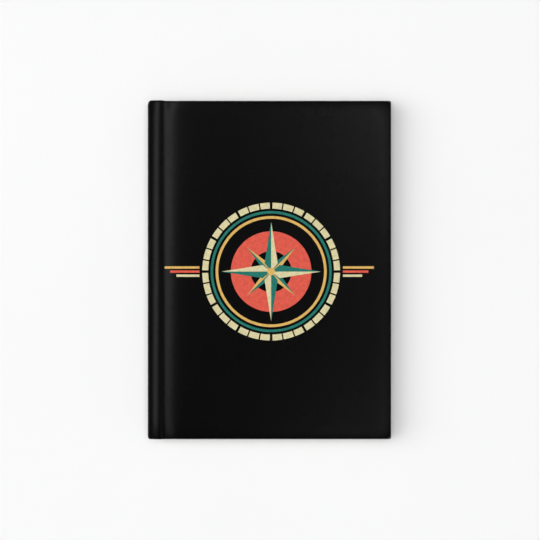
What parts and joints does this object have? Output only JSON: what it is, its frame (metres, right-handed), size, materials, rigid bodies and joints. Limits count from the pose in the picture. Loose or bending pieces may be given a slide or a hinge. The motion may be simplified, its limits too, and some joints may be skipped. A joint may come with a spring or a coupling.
{
  "type": "pilot logbook",
  "caption": "Case-bound black hardback logbook with grooved joints, a sewn text block, endpapers and a spine lining; it opens flat at its middle.",
  "frame": {"origin": "middle of the closed book's footprint, on the surface that its back cover lies on", "axes": "+X from the spine to the fore edge, +Y from tail to head, +Z from the back cover to the front cover"},
  "size_m": [0.155, 0.216, 0.015],
  "materials": {
    "greyboard": "matte",
    "covering": "satin",
    "endpaper": "matte",
    "mull": "matte",
    "page_paper": "matte",
    "thread": "matte",
    "band": "matte",
    "kraft": "matte"
  },
  "bodies": {
    "back_case": {"back_board": "greyboard", "back_cover_skin": "covering", "back_joint_skin": "covering", "back_endpaper": "endpaper", "back_mull_wing": "mull"},
    "spine": {"spine_board": "greyboard", "spine_skin": "covering", "spine_mull": "mull", "head_band": "band", "tail_band": "band", "spine_lining": "kraft", "link_stitches": "thread"},
    "front_case": {"front_board": "greyboard", "front_cover_skin": "covering", "front_joint_skin": "covering", "front_endpaper": "endpaper", "front_mull_wing": "mull"},
    "signature_1_body": {"signature_1": "page_paper"},
    "signature_2_body": {"signature_2": "page_paper"},
    "signature_3_body": {"signature_3": "page_paper"},
    "signature_4_body": {"signature_4": "page_paper"},
    "signature_6_body": {"signature_6": "page_paper", "centre_thread": "thread"},
    "signature_7_body": {"signature_7": "page_paper"},
    "signature_8_body": {"signature_8": "page_paper"},
    "signature_9_body": {"signature_9": "page_paper"},
    "leaf_1_body": {"leaf_1": "page_paper"},
    "leaf_2_body": {"leaf_2": "page_paper"},
    "leaf_3_body": {"leaf_3": "page_paper"},
    "leaf_4_body": {"leaf_4": "page_paper"},
    "leaf_5_body": {"leaf_5": "page_paper"},
    "leaf_6_body": {"leaf_6": "page_paper"},
    "leaf_7_body": {"leaf_7": "page_paper"},
    "leaf_8_body": {"leaf_8": "page_paper"}
  },
  "joints": [
    {"name": "spine_hinge", "type": "hinge", "parent": "back_case", "child": "spine", "pos_m": [-0.0753, 0, 0.0023], "axis": [0, -1, 0], "range_deg": [0, 90], "deforming": ["back_joint_skin", "spine_mull", "head_band", "tail_band", "spine_lining", "link_stitches"]},
    {"name": "front_hinge", "type": "hinge", "parent": "spine", "child": "front_case", "pos_m": [-0.0753, 0, 0.0127], "axis": [0, -1, 0], "range_deg": [0, 90], "deforming": ["front_joint_skin"]},
    {"name": "block_shear", "type": "slide", "parent": "back_case", "child": "signature_9_body", "axis": [-1, 0, 0], "range_m": [0, 0.00175]},
    {"name": "signature_8_slide", "type": "slide", "parent": "signature_9_body", "child": "signature_8_body", "axis": [-1, 0, 0], "range_m": [0, 0.00175]},
    {"name": "signature_7_slide", "type": "slide", "parent": "signature_8_body", "child": "signature_7_body", "axis": [-1, 0, 0], "range_m": [0, 0.00175]},
    {"name": "signature_6_slide", "type": "slide", "parent": "signature_7_body", "child": "signature_6_body", "axis": [-1, 0, 0], "range_m": [0, 0.00175]},
    {"name": "signature_1_slide", "type": "slide", "parent": "front_case", "child": "signature_1_body", "axis": [-1, 0, 0], "range_m": [0, 0.00175]},
    {"name": "signature_2_slide", "type": "slide", "parent": "signature_1_body", "child": "signature_2_body", "axis": [-1, 0, 0], "range_m": [0, 0.00175]},
    {"name": "signature_3_slide", "type": "slide", "parent": "signature_2_body", "child": "signature_3_body", "axis": [-1, 0, 0], "range_m": [0, 0.00175]},
    {"name": "signature_4_slide", "type": "slide", "parent": "signature_3_body", "child": "signature_4_body", "axis": [-1, 0, 0], "range_m": [0, 0.00175]},
    {"name": "leaf_1_turn", "type": "hinge", "parent": "signature_6_body", "child": "leaf_1_body", "pos_m": [-0.0731, 0, 0.0075], "axis": [0, -1, 0], "range_deg": [0, 177.5]},
    {"name": "leaf_2_turn", "type": "hinge", "parent": "signature_6_body", "child": "leaf_2_body", "pos_m": [-0.0731, 0, 0.0075], "axis": [0, -1, 0], "range_deg": [0, 175]},
    {"name": "leaf_3_turn", "type": "hinge", "parent": "signature_6_body", "child": "leaf_3_body", "pos_m": [-0.0731, 0, 0.0075], "axis": [0, -1, 0], "range_deg": [0, 171]},
    {"name": "leaf_4_turn", "type": "hinge", "parent": "signature_6_body", "child": "leaf_4_body", "pos_m": [-0.0731, 0, 0.0075], "axis": [0, -1, 0], "range_deg": [0, 163]},
    {"name": "leaf_5_turn", "type": "hinge", "parent": "signature_6_body", "child": "leaf_5_body", "pos_m": [-0.0731, 0, 0.0075], "axis": [0, -1, 0], "range_deg": [0, 38]},
    {"name": "leaf_6_turn", "type": "hinge", "parent": "signature_6_body", "child": "leaf_6_body", "pos_m": [-0.0731, 0, 0.0075], "axis": [0, -1, 0], "range_deg": [0, 20]},
    {"name": "leaf_7_turn", "type": "hinge", "parent": "signature_6_body", "child": "leaf_7_body", "pos_m": [-0.0731, 0, 0.0075], "axis": [0, -1, 0], "range_deg": [0, 10]},
    {"name": "leaf_8_turn", "type": "hinge", "parent": "signature_6_body", "child": "leaf_8_body", "pos_m": [-0.0731, 0, 0.0075], "axis": [0, -1, 0], "range_deg": [0, 5]}
  ],
  "couplings": [
    {"joint": "spine_hinge", "follows": "block_shear", "rad_per_m": 897.6},
    {"joint": "front_hinge", "follows": "block_shear", "rad_per_m": 897.6},
    {"joint": "signature_8_slide", "follows": "block_shear", "ratio": 1},
    {"joint": "signature_7_slide", "follows": "block_shear", "ratio": 1},
    {"joint": "signature_6_slide", "follows": "block_shear", "ratio": 1},
    {"joint": "signature_1_slide", "follows": "block_shear", "ratio": 1},
    {"joint": "signature_2_slide", "follows": "block_shear", "ratio": 1},
    {"joint": "signature_3_slide", "follows": "block_shear", "ratio": 1},
    {"joint": "signature_4_slide", "follows": "block_shear", "ratio": 1},
    {"joint": "leaf_1_turn", "follows": "block_shear", "rad_per_m": 1770.3},
    {"joint": "leaf_2_turn", "follows": "block_shear", "rad_per_m": 1745.3},
    {"joint": "leaf_3_turn", "follows": "block_shear", "rad_per_m": 1705.4},
    {"joint": "leaf_4_turn", "follows": "block_shear", "rad_per_m": 1625.6},
    {"joint": "leaf_5_turn", "follows": "block_shear", "rad_per_m": 378.99},
    {"joint": "leaf_6_turn", "follows": "block_shear", "rad_per_m": 199.47},
    {"joint": "leaf_7_turn", "follows": "block_shear", "rad_per_m": 99.733},
    {"joint": "leaf_8_turn", "follows": "block_shear", "rad_per_m": 49.866}
  ]
}
